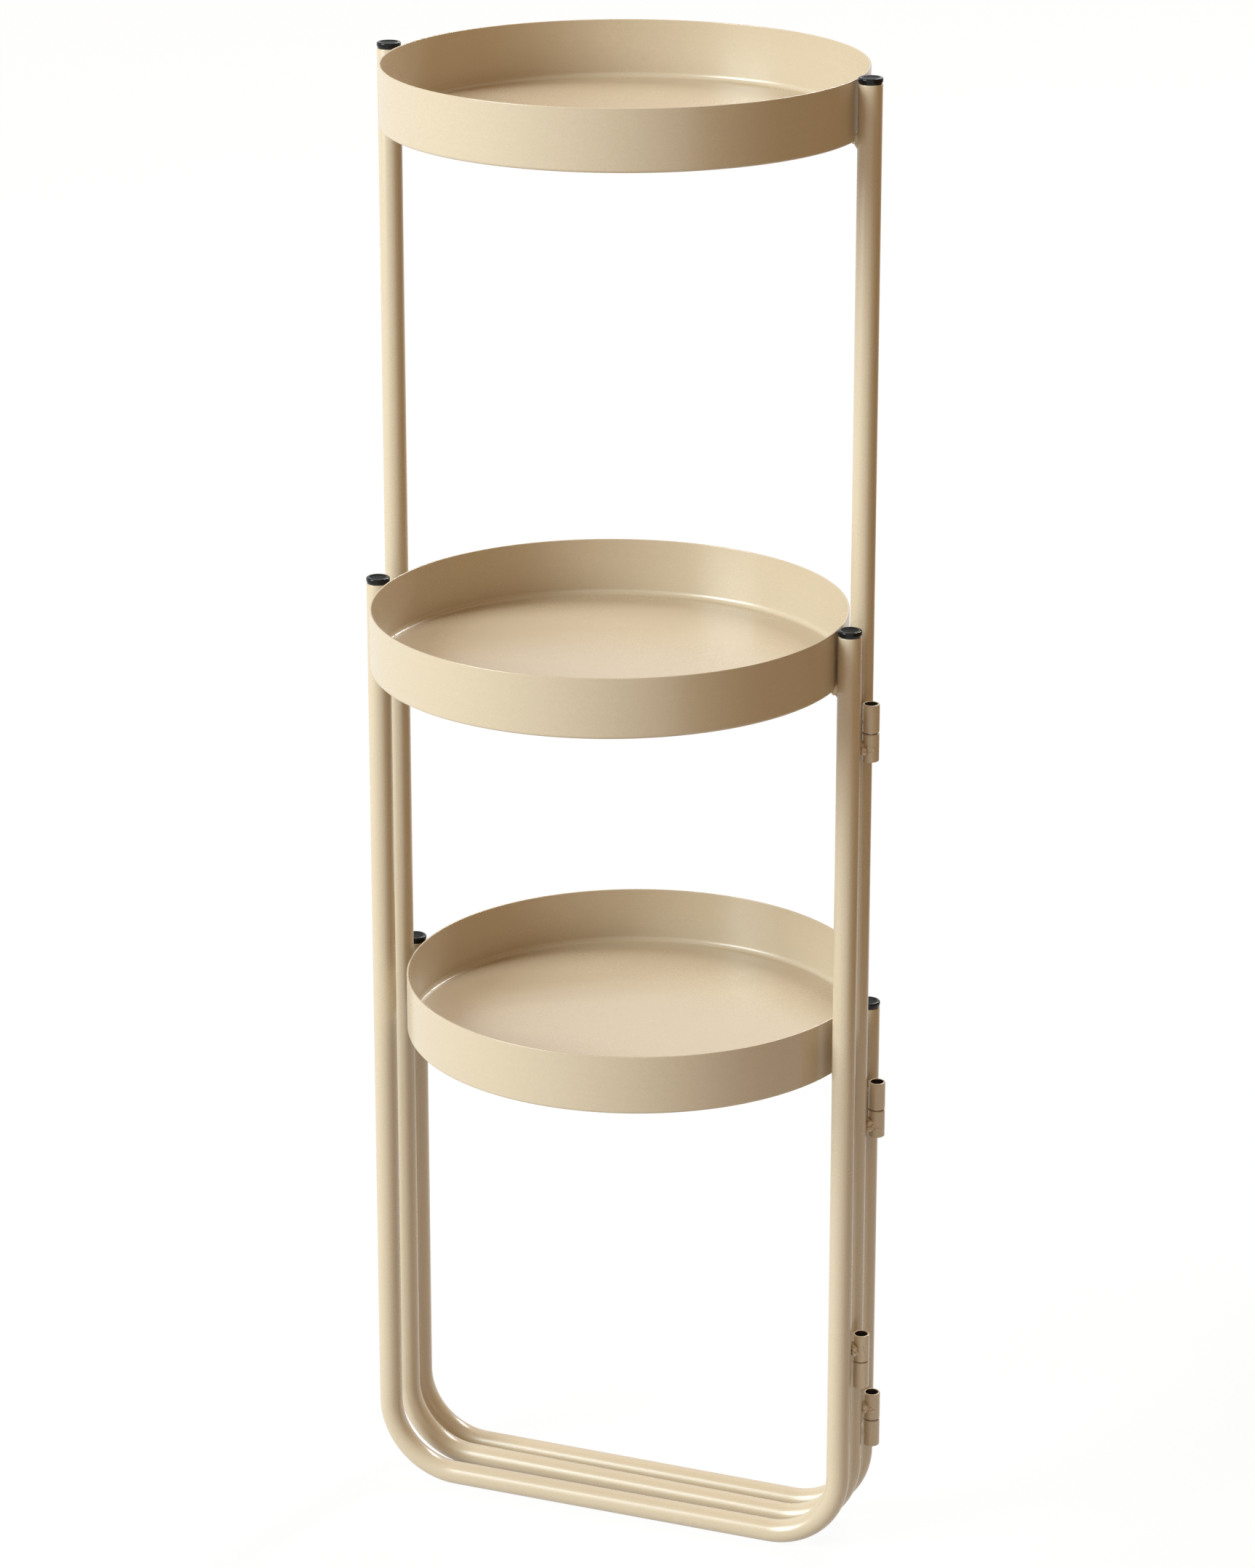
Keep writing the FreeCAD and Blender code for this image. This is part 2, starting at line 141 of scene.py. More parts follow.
class StandSizes(bpy.types.PropertyGroup):
    """Sizes of the stand that the boxes of its solids don't give."""

    bend_radius: length("Bend radius", "Centreline radius of the bends at the foot of a frame", 40 * MM)
    tube_wall: length("Tube wall", "Wall of the frame tube", 1.0 * MM)
    tube_lip: length("Tube lip", "Rounding of the cut ends of the tube", 0.45 * MM)
    tray_sheet: length("Tray sheet", "Sheet of a tray", 1.0 * MM)
    tray_corner: length("Tray corner", "Inside radius between the wall and the floor of a tray", 3.0 * MM)
    tray_edge: length("Tray edge", "Outside radius between the wall and the underside of a tray", 1.6 * MM)
    rim_round: length("Rim rounding", "Rounding of both edges of a rim", 0.4 * MM)
    knuckle_bore: length("Knuckle bore", "Bore radius of a hinge knuckle", 3.5 * MM)
    knuckle_lip: length("Knuckle lip", "Rounding of the ends of a hinge knuckle", 0.55 * MM)
    bore_lip: length("Bore lip", "Rounding of both mouths of a knuckle's bore", 0.55 * MM / 3)
    pin_chamfer: length("Pin chamfer", "Chamfer of both ends of a hinge pin", 0.5 * MM)
    pin_clearance: length("Pin clearance", "Radial clearance of a hinge pin in the upper knuckle", 0.05 * MM)
    head_height: length("Head height", "Height of the head of an end plug", 3.4 * MM)
    head_round: length("Head rounding", "Rounding of the upper edge of a plug's head", 0.9 * MM)
    head_inset: length("Head inset", "Foot of a plug's head inside its widest part", 0.6 * MM)
    head_taper: length("Head taper", "Height of the taper at the foot of a plug's head", 1.3 * MM)
    taper_round: length("Taper rounding", "Rounding above the taper of a plug's head", 0.5 * MM)
    foot_round: length("Foot rounding", "Rounding of the foot of a plug's head", 0.25 * MM)
    dish_radius: length("Dish radius", "Dished centre of a plug's head", 4.8 * MM)
    dish_depth: length("Dish depth", "Depth of the dished centre", 0.4 * MM)
    dish_slope: length("Dish slope", "Width of the slope round the dished centre", 0.6 * MM)
    dish_round: length("Dish rounding", "Rounding of the upper edge of the slope", 0.3 * MM)
    dish_corner: length("Dish corner", "Radius between the slope and the floor of the dish", 0.5 * MM)
    plug_clearance: length("Plug clearance", "Radial clearance of a plug's ribs in the tube", 0.05 * MM)
    rib_depth: length("Rib depth", "Height of the ribs on a plug's stem", 1.2 * MM)
    rib_width: length("Rib width", "Width of a rib on a plug's stem", 1.4 * MM)
    rib_pitch: length("Rib pitch", "Distance from one rib to the next", 4.0 * MM)
    rib_count: count("Rib count", "Ribs on a plug's stem", 3)
    bead_radius: length("Bead radius", "Half the thickness of a weld bead", 2.4 * MM)
    bead_height: length("Bead height", "Height of a bead between a knuckle and a leg", 7.8 * MM)
    pit_size: length("Pit size", "Radius of the small pits in a weld bead", 0.8 * MM)
    pit_depth: length("Pit depth", "Depth of the small pits in a weld bead", 0.7 * MM)
    bead_grain: length("Bead grain", "Fineness of the skin of a weld bead", 0.22 * MM)
    tube_sides: count("Tube sides", "Sides of the tube's round section", 48)
    bend_steps: count("Bend steps", "Steps round a bend", 20)
    tray_steps: count("Tray steps", "Steps round a tray", 192)
    small_steps: count("Small steps", "Steps round a knuckle, pin or plug", 64)
    round_steps: count("Round steps", "Steps across a wide rounding", 8)
    lip_steps: count("Lip steps", "Steps across a narrow rounding", 4)
    cut_steps: count("Cut steps", "Steps across the rounding of a cut end or a bore", 3)
    chamfer_steps: count("Chamfer steps", "Steps across the chamfer of a pin", 2)


class StandFinish(bpy.types.PropertyGroup):
    """Colours and surface of the stand."""

    coat: colour("Coat", "Sand-beige powder coat", (0.575, 0.475, 0.352))
    # Near-black: the uncoated bore, darkened further as painted shade in the bore of a knuckle.
    bore: colour("Bore", "Dark uncoated bore of a hinge knuckle", (0.03, 0.022, 0.016))
    plug: colour("Plug", "Black moulded plastic", (0.005, 0.005, 0.0055))
    steel: colour("Steel", "Dulled steel of the hinge pins", (0.09, 0.083, 0.075))
    coat_roughness: share("Coat roughness", "Roughness of the powder coat", 0.24)
    coat_gloss: share("Coat gloss", "Mirror level of the powder coat", 0.65)
    peel_depth: length("Peel depth", "Depth of the fine ripple of the powder coat", 0.008 * MM)
    cloud_size: length("Cloud size", "Width of the soft clouds in the coat", 60 * MM)
    grain_size: length("Grain size", "Width of the grain of the coat", 0.9 * MM)
    speck_size: length("Speck size", "Width of the noise that gives the specks", 2.6 * MM)
    ripple_size: length("Ripple size", "Width of the fine ripple of the coat", 1.6 * MM)
    streak_size: length("Streak size", "Height of the level streaks on the trays", 1.5 * MM)
    tray_streaks: share("Tray streaks", "Strength of the level streaks on the trays", 0.2)
    weld_lumps: plain("Weld lumps", "How much deeper the ripple is on the welds", 3.0)
    head_roughness: share("Head roughness", "Roughness of a plug's rim", 0.06)
    head_gloss: share("Head gloss", "Mirror level of a plug's rim", 0.25)
    head_grain: length("Head grain", "Depth of the grain on a plug's rim", 0.0005 * MM)
    dish_roughness: share("Dish roughness", "Roughness of a plug's dished centre", 0.50)
    dish_gloss: share("Dish gloss", "Mirror level of a plug's dished centre", 0.08)
    dish_grain: length("Dish grain", "Depth of the grain in a plug's dished centre", 0.006 * MM)


class StandStage(bpy.types.PropertyGroup):
    """Camera, lamps and background."""

    camera_place: FloatVectorProperty(name="Camera place", description="Where the camera stands", size=3,
                                      default=(0.9123, -2.2343, 1.2625), unit="LENGTH", subtype="XYZ")
    camera_turn: angle("Camera turn", "How far the camera looks to the left of straight ahead", 22.18)
    camera_pitch: angle("Camera pitch", "How far the camera looks down", 17.22)
    sensor: optics("Sensor", "Long side of the camera's picture, in millimetres", 36.0)
    lens: optics("Lens", "Focal length of the camera, in millimetres", 108.441)
    shift: plain("Shift", "Upright shift of the lens, part of the long side", -0.1)
    ambient: share("Ambient", "Level of the light from all round", 0.49)
    ambient_tone: colour("Ambient tone", "Tone of the light from all round", (1.0, 0.67, 0.34))
    floor_reach: length("Floor reach", "Half the side of the floor", 12.0)
    floor_level: share("Floor level", "Lightness of the floor for the light that it throws back", 0.6)
    floor_white: share("Floor white", "How much of the floor's look is white, the rest takes shadows", 0.955)
    card_tone: colour("Card tone", "Tone of the dark card", (0.27, 0.18, 0.10))
    card_distance: length("Card distance", "From the dark card to the stand", 0.6)
    card_width: length("Card width", "Width of the dark card", 1.6)
    card_height: length("Card height", "Height of the dark card", 1.35)
    card_rise: length("Card rise", "Foot of the dark card above the floor", 0.15)
    card_turn: angle("Card turn", "How far the dark card stands behind the right-hand side", 15.0)
    key_turn: angle("Key turn", "How far to the left of straight ahead the key lamp stands", 40.0)
    key_height: angle("Key height", "How high the key lamp stands", 26.0)
    key_distance: length("Key distance", "From the key lamp to the stand", 8.0)
    key_width: length("Key width", "Width of the key lamp", 3.8)
    key_depth: length("Key depth", "Depth of the key lamp", 5.0)
    key_power: power("Key power", "Power of the key lamp in watts", 825.0)
    key_tone: colour("Key tone", "Tone of the key lamp", (0.845, 0.975, 1.0))
    rim_turn: angle("Rim turn", "How far to the left of straight ahead the rim lamp stands", -168.0)
    rim_height: angle("Rim height", "How high the rim lamp stands", 44.0)
    rim_distance: length("Rim distance", "From the rim lamp to the stand", 5.0)
    rim_width: length("Rim width", "Width of the rim lamp", 0.4)
    rim_depth: length("Rim depth", "Depth of the rim lamp", 3.0)
    rim_power: power("Rim power", "Power of the rim lamp in watts", 185.0)
    rim_tone: colour("Rim tone", "Tone of the rim lamp", (0.93, 0.99, 1.0))


class Socket:
    """Output of a shader node. Arithmetic on it adds Math nodes."""

    def __init__(self, paint, output):
        self.paint = paint
        self.output = output

    def math(self, operation, first, second):
        """Adds one Math node."""
        return self.paint.node("ShaderNodeMath", {"operation": operation}, {0: first, 1: second})

    def __add__(self, other):
        return self.math("ADD", self, other)

    def __radd__(self, other):
        return self.math("ADD", other, self)

    def __sub__(self, other):
        return self.math("SUBTRACT", self, other)

    def __rsub__(self, other):
        return self.math("SUBTRACT", other, self)

    def __mul__(self, other):
        return self.math("MULTIPLY", self, other)

    def __rmul__(self, other):
        return self.math("MULTIPLY", other, self)

    def __or__(self, other):
        return self.math("MAXIMUM", self, other)

    def __ror__(self, other):
        return self.math("MAXIMUM", other, self)


class Paint:
    """Node tree of a material or of the world, emptied and built up again."""

    def __init__(self, owner):
        owner.use_nodes = True
        self.tree = owner.node_tree
        self.tree.nodes.clear()

    def node(self, kind, settings=None, sockets=None, output=0):
        """Adds a node: first its settings, then the values or links of its sockets."""
        made = self.tree.nodes.new(kind)
        for name, value in (settings or {}).items():
            setattr(made, name, value)
        for name, value in (sockets or {}).items():
            if isinstance(value, Socket):
                self.tree.links.new(value.output, made.inputs[name])
            else:
                made.inputs[name].default_value = value
        return Socket(self, made.outputs[output]) if made.outputs else made

    def place(self):
        """Place on the object, in metres."""
        return self.node("ShaderNodeTexCoord", output="Object")

    def noise(self, place, size, detail=2.0):
        """Even noise whose spots are about a size across."""
        return self.node("ShaderNodeTexNoise", {"normalize": True},
                         {"Vector": place, "Scale": 1 / size, "Detail": detail, "Roughness": 0.5})

    def ramp(self, value, low, high):
        """Value that goes from 0 at low to 1 at high, and stays there."""
        return self.node("ShaderNodeMapRange", {"clamp": True},
                         {"Value": value, "From Min": low, "From Max": high})

    def blend(self, factor, first, second):
        """Colour between two others."""
        return self.node("ShaderNodeMix", {"data_type": "RGBA"}, {0: factor, 6: first, 7: second}, output=2)

    def shade(self, factor, tone, tints):
        """Colour between a darker and a lighter tint of a tone."""
        return self.blend(factor, *(tinted(tone, tint) for tint in tints))

    def bump(self, height, depth):
        """Normal that follows a height from 0 to 1, for a depth in metres."""
        return self.node("ShaderNodeBump", {}, {"Strength": 1.0, "Distance": depth, "Height": height})

    def surface(self, sockets):
        """Plain shader of the whole material."""
        shader = self.node("ShaderNodeBsdfPrincipled", {}, sockets)
        self.node("ShaderNodeOutputMaterial", {}, {"Surface": shader})


def new_material(name, build, *values):
    """Material of a name, built once."""
    material = bpy.data.materials.get(name)
    if material is None:
        material = bpy.data.materials.new(name)
        build(Paint(material), *values)
    return material


def tinted(tone, factor=1.0):
    """Colour of a tone made lighter or darker, as a socket takes it."""
    return (*(channel * factor for channel in tone), 1.0)


def around(middle, width, value):
    """Spreads a value from 0 to 1 over a width around a middle."""
    return middle - width / 2 + width * value


# How far the roughness of the coat and the plugs goes up and down, and how much the coat's grain adds.
ROUGHNESS_SPREAD = 0.06
GRAIN_ROUGHNESS = 0.05
# Tints are parts of a piece's own colour. The two of a pair are the ends of its clouds or its grain.
COAT_TINTS = (0.97, 1.03)
PLUG_TINTS = (0.8, 1.2)
PIN_TINTS = (0.85, 1.1)
BORE_TINTS = (0.7, 1.3)
GRAIN_TINT = 0.93
STREAK_TINT = 0.80
SPECK_TINT = 0.35
# Levels of the noise between which a mark in the coat comes up.
GRAIN_LEVELS = (0.3, 0.7)
SPECK_LEVELS = (0.80, 0.82)
SPECK_STRENGTH = 0.2
# Height of the coat's grain, as a part of its ripple.
GRAIN_HEIGHT = 0.4
# Streaks are noise drawn out level.
STREAK_STRETCH = (0.03, 0.03, 1.0)
# Width of the grain and of the clouds in the plugs.
PLUG_GRAIN = 0.35 * MM
PLUG_CLOUDS = 5 * MM
# Width and depth of the grain in the pins and bores, their least roughness and what the grain adds to it.
PIN_GRAIN = 0.5 * MM
PIN_DEPTH = 0.004 * MM
PIN_ROUGHNESS = 0.38
PIN_ROUGHER = 0.15
BORE_GRAIN = 0.8 * MM
BORE_DEPTH = 0.01 * MM
BORE_ROUGHNESS = 0.5
BORE_ROUGHER = 0.2
BORE_GLOSS = 0.3


def paint_coat(paint, finish, lumps, streaks):
    """Satin powder coat with soft clouds, sparse dark specks and a fine ripple.

    Lumps deepen the ripple, on the welds. Streaks are level marks, on the trays.
    """
    place = paint.place()
    level = paint.node("ShaderNodeVectorMath", {"operation": "MULTIPLY"}, {0: place, 1: STREAK_STRETCH})
    clouds = paint.noise(place, finish.cloud_size, detail=3.0)
    grain = paint.noise(place, finish.grain_size)
    specks = paint.ramp(paint.noise(place, finish.speck_size, detail=1.0), *SPECK_LEVELS)
    ripple = paint.noise(place, finish.ripple_size, detail=1.0)
    marks = streaks * paint.noise(level, finish.streak_size)
    tone = paint.shade(clouds, finish.coat, COAT_TINTS)
    tone = paint.blend(paint.ramp(grain, *GRAIN_LEVELS), tone, tinted(finish.coat, GRAIN_TINT))
    tone = paint.blend(marks, tone, tinted(finish.coat, STREAK_TINT))
    tone = paint.blend(specks * SPECK_STRENGTH, tone, tinted(finish.coat, SPECK_TINT))
    rough = around(finish.coat_roughness, ROUGHNESS_SPREAD, clouds) + GRAIN_ROUGHNESS * grain
    paint.surface({"Base Color": tone, "Roughness": rough, "Specular IOR Level": finish.coat_gloss,
                   "Normal": paint.bump(ripple + GRAIN_HEIGHT * grain, finish.peel_depth * lumps)})


def paint_plug(paint, finish, roughness, gloss, grain_depth):
    """Moulded black plastic, with a fine grain where the mould was left rough."""
    place = paint.place()
    grain = paint.noise(place, PLUG_GRAIN)
    tone = paint.shade(paint.noise(place, PLUG_CLOUDS), finish.plug, PLUG_TINTS)
    paint.surface({"Base Color": tone, "Roughness": around(roughness, ROUGHNESS_SPREAD, grain),
                   "Specular IOR Level": gloss, "Normal": paint.bump(grain, grain_depth)})


def paint_steel(paint, finish):
    """Drawn steel of the pins, a little dull."""
    grain = paint.noise(paint.place(), PIN_GRAIN)
    tone = paint.shade(grain, finish.steel, PIN_TINTS)
    paint.surface({"Base Color": tone, "Roughness": PIN_ROUGHNESS + PIN_ROUGHER * grain, "Metallic": 1.0,
                   "Normal": paint.bump(grain, PIN_DEPTH)})


def paint_bore_with_shade(paint, finish):
    """Near-black uncoated metal inside a knuckle, darkened as painted shade in the bore, and uneven with
    drawing oil.
    """
    grain = paint.noise(paint.place(), BORE_GRAIN, detail=3.0)
    tone = paint.shade(grain, finish.bore, BORE_TINTS)
    paint.surface({"Base Color": tone, "Roughness": BORE_ROUGHNESS + BORE_ROUGHER * grain,
                   "Specular IOR Level": BORE_GLOSS, "Normal": paint.bump(grain, BORE_DEPTH)})


def coat_material(context, name, lumps=1.0, streaks=0.0):
    """Powder coat under a name of its own."""
    return new_material(name, paint_coat, context.scene.stand_finish, lumps, streaks)


def nodes_ending(ending):
    """Nodes whose names have an ending, in order."""
    return sorted(node for node in BODY_OF if node.endswith(ending))


def round_box(node):
    """Middle of a round upright node on the floor, its radius, and the heights of its foot and head."""
    low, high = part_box(node)
    middle = Vector(((low.x + high.x) / 2, (low.y + high.y) / 2, 0))
    return middle, (high.x - low.x) / 2, low.z, high.z


def leg_axis(name, side):
    """Point on the floor under the axis of a leg, from the plug in its end."""
    return round_box(f"{name}_{side}_plug")[0]


def frame_matrix(name):
    """Place and turn of a frame, with its legs along X."""
    left, right = (leg_axis(name, side) for side in LEGS)
    across = right - left
    return Matrix.Translation((left + right) / 2) @ Matrix.Rotation(math.atan2(across.y, across.x), 4, "Z")


def tube_radius():
    """The tall frame stands square to Y, so its tube is as thick as its box is deep."""
    low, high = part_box("tall_frame_tube")
    return (high.y - low.y) / 2


def new_object(name, mesh, *materials):
    """Ends a mesh as an object of the scene."""
    data = bpy.data.meshes.new(name)
    mesh.to_mesh(data)
    mesh.free()
    for material in materials:
        data.materials.append(material)
    made = bpy.data.objects.new(name, data)
    bpy.context.scene.collection.objects.link(made)
    return made


def add_piece(mesh, node, *materials):
    """Ends a mesh as the piece that stands for a node."""
    piece = new_object(f"finished_{node}", mesh, *materials)
    piece.data.shade_smooth()
    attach(piece, BODY_OF[node])
    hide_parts(node)
    return piece


def even_normals(piece):
    """Keeps large flat faces flat beside their rounded edges."""
    modifier = piece.modifiers.new("even_normals", "WEIGHTED_NORMAL")
    modifier.mode = "FACE_AREA"
    modifier.weight = FLAT_WEIGHT


def lathe(outline, steps, closed=False):
    """Turns an outline of (radius, height) points about the upright axis."""
    mesh = bmesh.new()
    corners = [mesh.verts.new((radius, 0, height)) for radius, height in outline]
    following = corners[1:] + corners[:1] if closed else corners[1:]
    for corner, after in zip(corners, following):
        mesh.edges.new((corner, after))
    bmesh.ops.spin(mesh, geom=mesh.verts[:] + mesh.edges[:], cent=(0, 0, 0), axis=UP, dvec=(0, 0, 0),
                   angle=math.tau, steps=steps, use_merge=True, use_duplicate=False)
    bmesh.ops.remove_doubles(mesh, verts=mesh.verts, dist=TOUCH)
    bmesh.ops.recalc_face_normals(mesh, faces=mesh.faces)
    return mesh


def round_ring(mesh, radius, height, offset, segments):
    """Rounds the edge of a turned piece that runs at a radius and a height."""
    def on_ring(vertex):
        return abs(vertex.co.xy.length - radius) < TOUCH and abs(vertex.co.z - height) < TOUCH

    edges = [edge for edge in mesh.edges if all(on_ring(vertex) for vertex in edge.verts)]
    if not edges:
        raise RuntimeError(f"no edge at radius {radius} and height {height}")
    bmesh.ops.bevel(mesh, geom=edges, offset=offset, offset_type="OFFSET", affect="EDGES", segments=segments,
                    profile=0.5, material=-1, clamp_overlap=True)


def draw_out(mesh, edges, step):
    """Lengthens an open tube from the edges of its end, and gives the edges of the new end."""
    made = bmesh.ops.extrude_edge_only(mesh, edges=edges)["geom"]
    ends = [item for item in made if isinstance(item, bmesh.types.BMVert)]
    bmesh.ops.translate(mesh, verts=ends, vec=step)
    return [item for item in made if isinstance(item, bmesh.types.BMEdge) and set(item.verts) <= set(ends)]


def bend_on(mesh, edges, centre, steps):
    """Bends an open tube on by a quarter turn in the XZ plane, and gives the edges of the new end."""
    ends = list({vertex for edge in edges for vertex in edge.verts})
    made = bmesh.ops.spin(mesh, geom=ends + edges, cent=centre, axis=(0, -1, 0), dvec=(0, 0, 0),
                          angle=QUARTER_TURN, steps=steps, use_merge=False, use_duplicate=False)
    return [item for item in made["geom_last"] if isinstance(item, bmesh.types.BMEdge)]


def bent_tube(half_width, top, radius, sizes):
    """U of tube in the XZ plane, open at both ends: leg, bend, bottom bar, bend, leg."""
    bend = sizes.bend_radius
    bend_height = radius + bend
    bar = half_width - bend
    mesh = bmesh.new()
    bmesh.ops.create_circle(mesh, cap_ends=False, radius=radius, segments=sizes.tube_sides,
                            matrix=Matrix.Translation((-half_width, 0, top)))
    end = draw_out(mesh, mesh.edges[:], (0, 0, bend_height - top))
    end = bend_on(mesh, end, (-bar, 0, bend_height), sizes.bend_steps)
    end = draw_out(mesh, end, (2 * bar, 0, 0))
    end = bend_on(mesh, end, (bar, 0, bend_height), sizes.bend_steps)
    draw_out(mesh, end, (0, 0, top - bend_height))
    bmesh.ops.recalc_face_normals(mesh, faces=mesh.faces)
    return mesh


# A weld bead is a heap of lumps, melted into one skin. In the values for welds a pair gives the ends
# of an even draw, or a start and its change from lump to lump, and lengths are in millimetres.
LUMP_FINENESS = 3
SOFT_FACTOR = 0.5
SOFT_ROUNDS = 4
# How far a skin sinks into the wall that it lies on.
SEAT_DEPTH = 0.15
# A row of lumps along the gap: sizes and steps aside are parts of the bead's half thickness.
ROW_LUMPS = 6
ROW_SIZES = (0.72, 1.0)
ROW_ASIDE = (-0.35, 0.35)
RIPPLE_WIDTH = 1.8
PIT_REACH = 3


def melt(mesh, grain):
    """One closed smooth skin round overlapping lumps."""
    lumps = new_object("lumps", mesh)
    skin = lumps.modifiers.new("skin", "REMESH")
    skin.mode = "VOXEL"
    skin.voxel_size = grain
    soft = lumps.modifiers.new("soft", "SMOOTH")
    soft.factor = SOFT_FACTOR
    soft.iterations = SOFT_ROUNDS
    melted = bmesh.new()
    melted.from_object(lumps, bpy.context.evaluated_depsgraph_get())
    data = lumps.data
    bpy.data.objects.remove(lumps)
    bpy.data.meshes.remove(data)
    return melted


def add_lump(mesh, place, radius):
    """Adds one round lump."""
    bmesh.ops.create_icosphere(mesh, subdivisions=LUMP_FINENESS, radius=radius,
                               matrix=Matrix.Translation(place))


def roughen(mesh, size, depth):
    """Moves a skin in and out by uneven noise."""
    mesh.normal_update()
    moves = [vertex.normal * depth * noise.noise(vertex.co / size) for vertex in mesh.verts]
    for vertex, move in zip(mesh.verts, moves):
        vertex.co += move


def seat_on(mesh, middle, radius, lowest=0.0, highest=math.inf):
    """Moves what would lie inside a round upright wall out to just under its surface."""
    seat = radius - SEAT_DEPTH * MM
    for vertex in mesh.verts:
        out = (vertex.co - middle) * Vector((1, 1, 0))
        if lowest < vertex.co.z < highest and TOUCH < out.length < seat:
            vertex.co += out.normalized() * (seat - out.length)


def stack_lumps(mesh, draw, foot, head, middle, spread, radius):
    """Upright row of overlapping uneven lumps, as a welder lays them."""
    for row in range(ROW_LUMPS):
        size = radius * draw.uniform(*ROW_SIZES)
        height = foot + radius + (head - foot - 2 * radius) * row / (ROW_LUMPS - 1)
        aside = spread * draw.uniform(*ROW_ASIDE)
        add_lump(mesh, middle + aside + UP * height, size)


def press_pit(mesh, place, reach, direction, sizes):
    """Presses a small pit into a skin where it stands out most in a direction, within reach of a place."""
    near = [vertex.co for vertex in mesh.verts if (vertex.co - place).length < reach]
    if not near:
        raise RuntimeError("a weld has no skin where its pit should be")
    middle = max(near, key=direction.dot).copy()
    mesh.normal_update()
    spots = [(vertex, (vertex.co - middle).length / sizes.pit_size) for vertex in mesh.verts]
    moves = [(vertex, vertex.normal * sizes.pit_depth * (1 - far * far)) for vertex, far in spots if far < 1]
    for vertex, move in moves:
        vertex.co -= move


class PLANTSTAND_OT_tubes(bpy.types.Operator):
    """Makes the three frames of bent tube"""

    bl_idname = "plant_stand.tubes"
    bl_label = "Frame tubes"
    bl_options = {"REGISTER", "UNDO"}

    def execute(self, context):
        sizes = context.scene.stand_sizes
        coat = coat_material(context, "frame_coat")
        for name in TRAY_OF:
            node = f"{name}_frame_tube"
            left, right = (leg_axis(name, side) for side in LEGS)
            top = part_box(node)[1].z
            mesh = bent_tube((right - left).length / 2, top, tube_radius(), sizes)
            bmesh.ops.transform(mesh, matrix=frame_matrix(name), verts=mesh.verts)
            piece = add_piece(mesh, node, coat)
            wall = piece.modifiers.new("wall", "SOLIDIFY")
            wall.thickness = sizes.tube_wall
            # The wall grows inwards.
            wall.offset = -1.0
            lip = piece.modifiers.new("lip", "BEVEL")
            lip.width = sizes.tube_lip
            lip.segments = sizes.cut_steps
            lip.limit_method = "ANGLE"
            lip.angle_limit = SHARP_TURN
        return {"FINISHED"}


class PLANTSTAND_OT_trays(bpy.types.Operator):
    """Makes the three round trays"""

    bl_idname = "plant_stand.trays"
    bl_label = "Trays"
    bl_options = {"REGISTER", "UNDO"}

    def execute(self, context):
        sizes = context.scene.stand_sizes
        coat = coat_material(context, "tray_coat", streaks=context.scene.stand_finish.tray_streaks)
        for node in TRAY_OF.values():
            middle, outside, low, rim = round_box(node)
            inside = outside - sizes.tray_sheet
            floor = low + sizes.tray_sheet
            outline = [(0, low), (outside, low), (outside, rim), (inside, rim), (inside, floor), (0, floor)]
            mesh = lathe(outline, sizes.tray_steps)
            round_ring(mesh, outside, low, sizes.tray_edge, sizes.round_steps)
            round_ring(mesh, inside, floor, sizes.tray_corner, sizes.round_steps)
            round_ring(mesh, outside, rim, sizes.rim_round, sizes.lip_steps)
            round_ring(mesh, inside, rim, sizes.rim_round, sizes.lip_steps)
            bmesh.ops.translate(mesh, verts=mesh.verts, vec=middle)
            even_normals(add_piece(mesh, node, coat))
        return {"FINISHED"}


class PLANTSTAND_OT_knuckles(bpy.types.Operator):
    """Makes the knuckles of the barrel hinges"""

    bl_idname = "plant_stand.knuckles"
    bl_label = "Hinge knuckles"
    bl_options = {"REGISTER", "UNDO"}

    def execute(self, context):
        sizes = context.scene.stand_sizes
        bore = sizes.knuckle_bore
        coat = coat_material(context, "hinge_coat")
        # Near-black material of the bores: uncoated metal, and painted shade in the bore.
        bare_and_shaded = new_material("knuckle_bore", paint_bore_with_shade, context.scene.stand_finish)
        for node in nodes_ending("_knuckle"):
            middle, outside, low, high = round_box(node)
            outline = [(bore, low), (outside, low), (outside, high), (bore, high)]
            mesh = lathe(outline, sizes.small_steps, closed=True)
            for height in (low, high):
                round_ring(mesh, outside, height, sizes.knuckle_lip, sizes.lip_steps)
                round_ring(mesh, bore, height, sizes.bore_lip, sizes.cut_steps)
            for face in mesh.faces:
                # The bore's faces take the second material, with its painted shade.
                face.material_index = int(all(vertex.co.xy.length < bore + TOUCH for vertex in face.verts))
            bmesh.ops.translate(mesh, verts=mesh.verts, vec=middle)
            even_normals(add_piece(mesh, node, coat, bare_and_shaded))
        return {"FINISHED"}


class PLANTSTAND_OT_pins(bpy.types.Operator):
    """Makes the pins inside the hinges"""

    bl_idname = "plant_stand.pins"
    bl_label = "Hinge pins"
    bl_options = {"REGISTER", "UNDO"}

    def execute(self, context):
        sizes = context.scene.stand_sizes
        steel = new_material("pin_steel", paint_steel, context.scene.stand_finish)
        for node in nodes_ending("_pin"):
            middle, pressed, low, high = round_box(node)
            running = pressed - sizes.pin_clearance
            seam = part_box(node.replace("_pin", "_bottom_knuckle"))[1].z
            outline = [(0, low), (pressed, low), (pressed, seam), (running, seam), (running, high), (0, high)]
            mesh = lathe(outline, sizes.small_steps)
            round_ring(mesh, pressed, low, sizes.pin_chamfer, sizes.chamfer_steps)
            round_ring(mesh, running, high, sizes.pin_chamfer, sizes.chamfer_steps)
            bmesh.ops.translate(mesh, verts=mesh.verts, vec=middle)
            even_normals(add_piece(mesh, node, steel))
        return {"FINISHED"}


